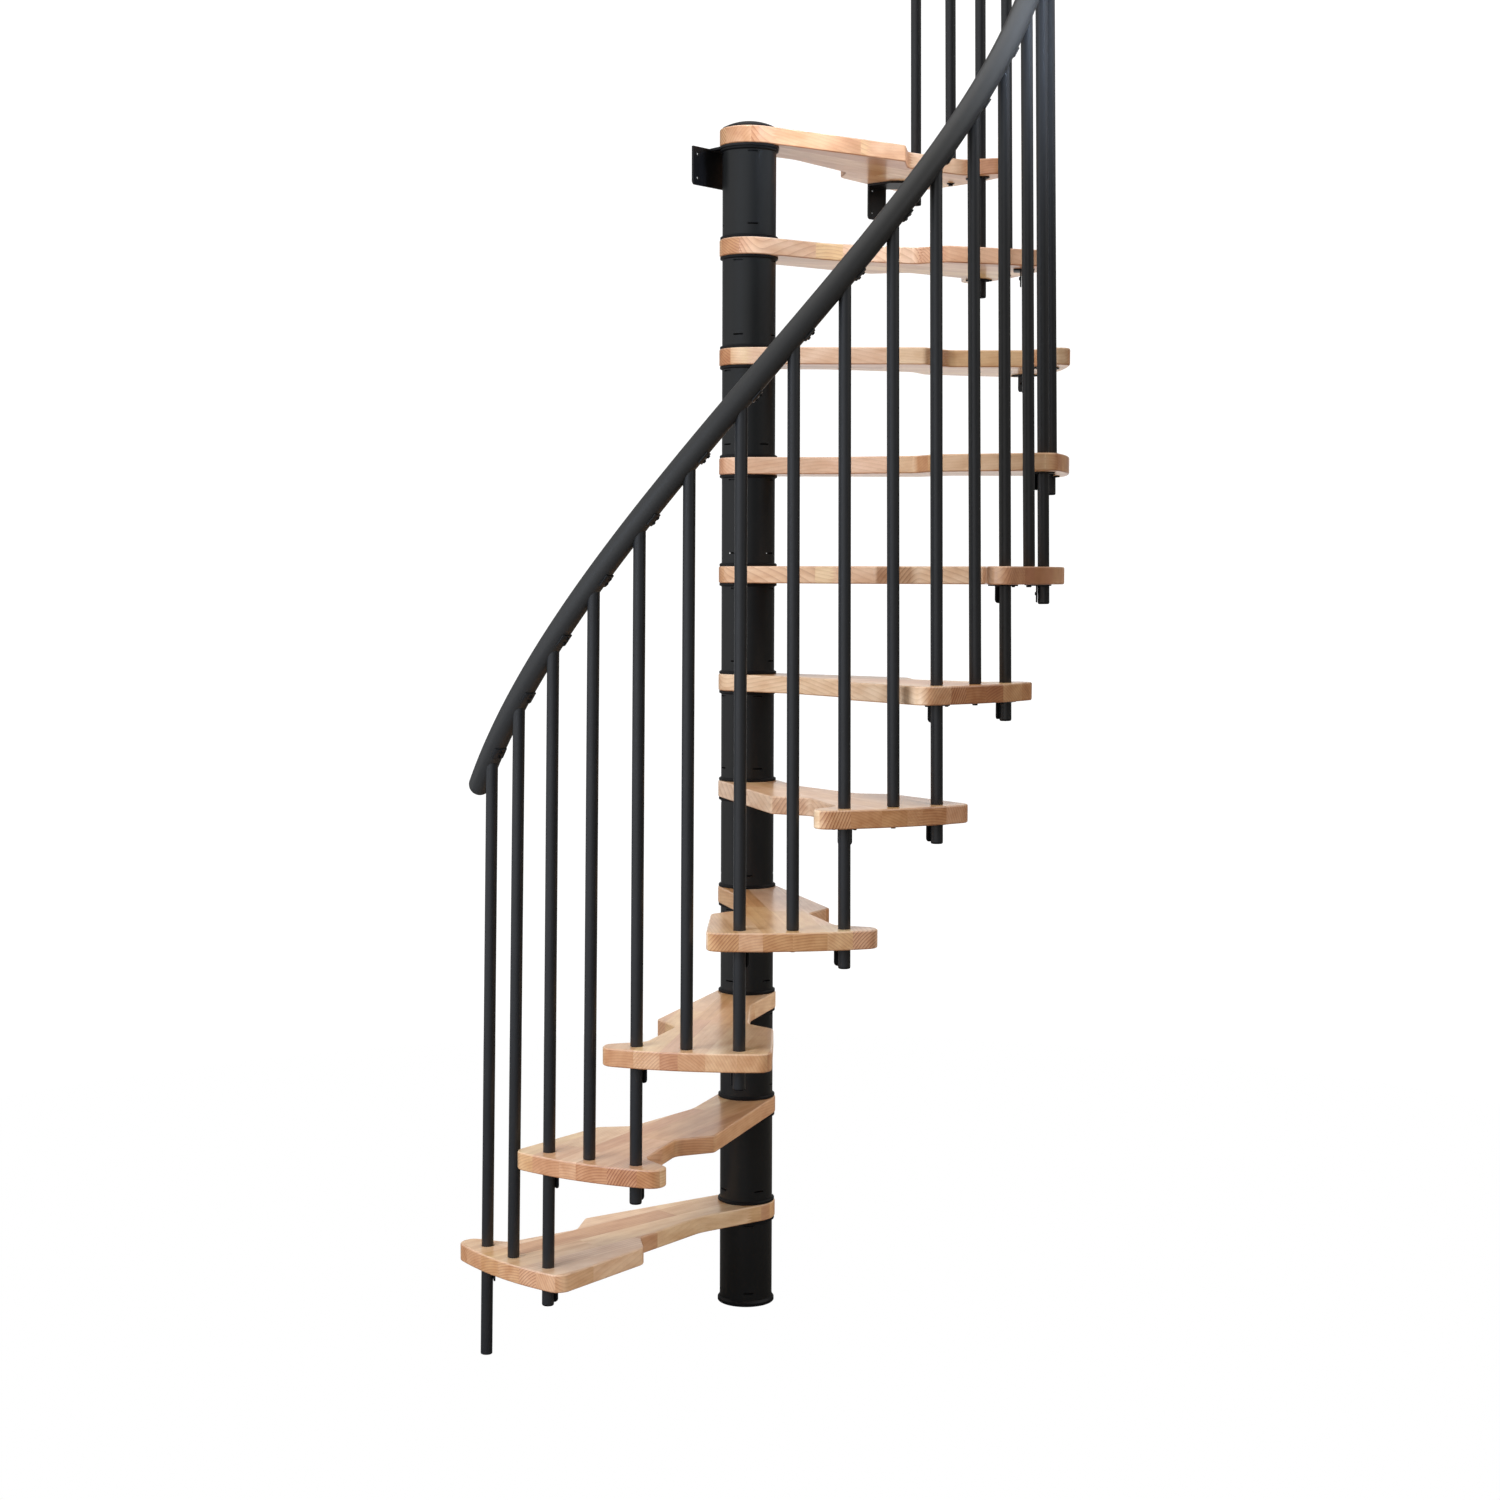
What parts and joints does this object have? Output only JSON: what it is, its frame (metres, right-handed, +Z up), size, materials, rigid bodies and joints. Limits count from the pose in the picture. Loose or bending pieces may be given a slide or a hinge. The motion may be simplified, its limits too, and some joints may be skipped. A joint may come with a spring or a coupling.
{
  "type": "winding staircase",
  "caption": "Compact winding staircase: beech paddle treads stacked on a round steel column, tied at the rim by steel balusters under a helical handrail.",
  "frame": {"origin": "centre of the column's foot, on the floor", "axes": "+Z up the column; the first tread points to about -X -Y and the flight climbs anticlockwise seen from above, to the top tread at about +X +Y"},
  "size_m": [1.2629, 1.2473, 3.8481],
  "materials": {
    "beech": "edge-glued beech staves, satin clear lacquer",
    "column_steel": "anthracite powder coat, fine matt texture",
    "baluster_steel": "anthracite powder coat, fine matt texture",
    "bracket_steel": "black powder coat on pressed sheet steel",
    "black_nylon": "moulded black nylon, low sheen",
    "rail_pvc": "black PVC, soft satin"
  },
  "bodies": {
    "root": {"base_plate": "black_nylon", "column_tube_01": "column_steel", "column_tube_02": "column_steel", "column_tube_03": "column_steel", "column_tube_04": "column_steel", "column_tube_05": "column_steel", "column_tube_06": "column_steel", "column_tube_07": "column_steel", "column_tube_08": "column_steel", "column_tube_09": "column_steel", "column_tube_10": "column_steel", "column_tube_11": "column_steel", "column_rings": "black_nylon", "tread_01": "beech", "tread_02": "beech", "tread_03": "beech", "tread_04": "beech", "tread_05": "beech", "tread_06": "beech", "tread_07": "beech", "tread_08": "beech", "tread_09": "beech", "tread_10": "beech", "tread_11": "beech", "column_cap": "black_nylon", "tie_baluster_01": "baluster_steel", "tie_baluster_02": "baluster_steel", "tie_baluster_03": "baluster_steel", "tie_baluster_04": "baluster_steel", "tie_baluster_05": "baluster_steel", "tie_baluster_06": "baluster_steel", "tie_baluster_07": "baluster_steel", "tie_baluster_08": "baluster_steel", "tie_baluster_09": "baluster_steel", "tie_baluster_10": "baluster_steel", "tie_baluster_11": "baluster_steel", "tie_baluster_12": "baluster_steel", "mid_balusters": "baluster_steel", "baluster_clamps": "bracket_steel", "rail_saddles": "bracket_steel", "handrail": "rail_pvc", "handrail_ends": "rail_pvc", "column_bracket": "bracket_steel", "outer_bracket": "bracket_steel"}
  },
  "joints": []
}
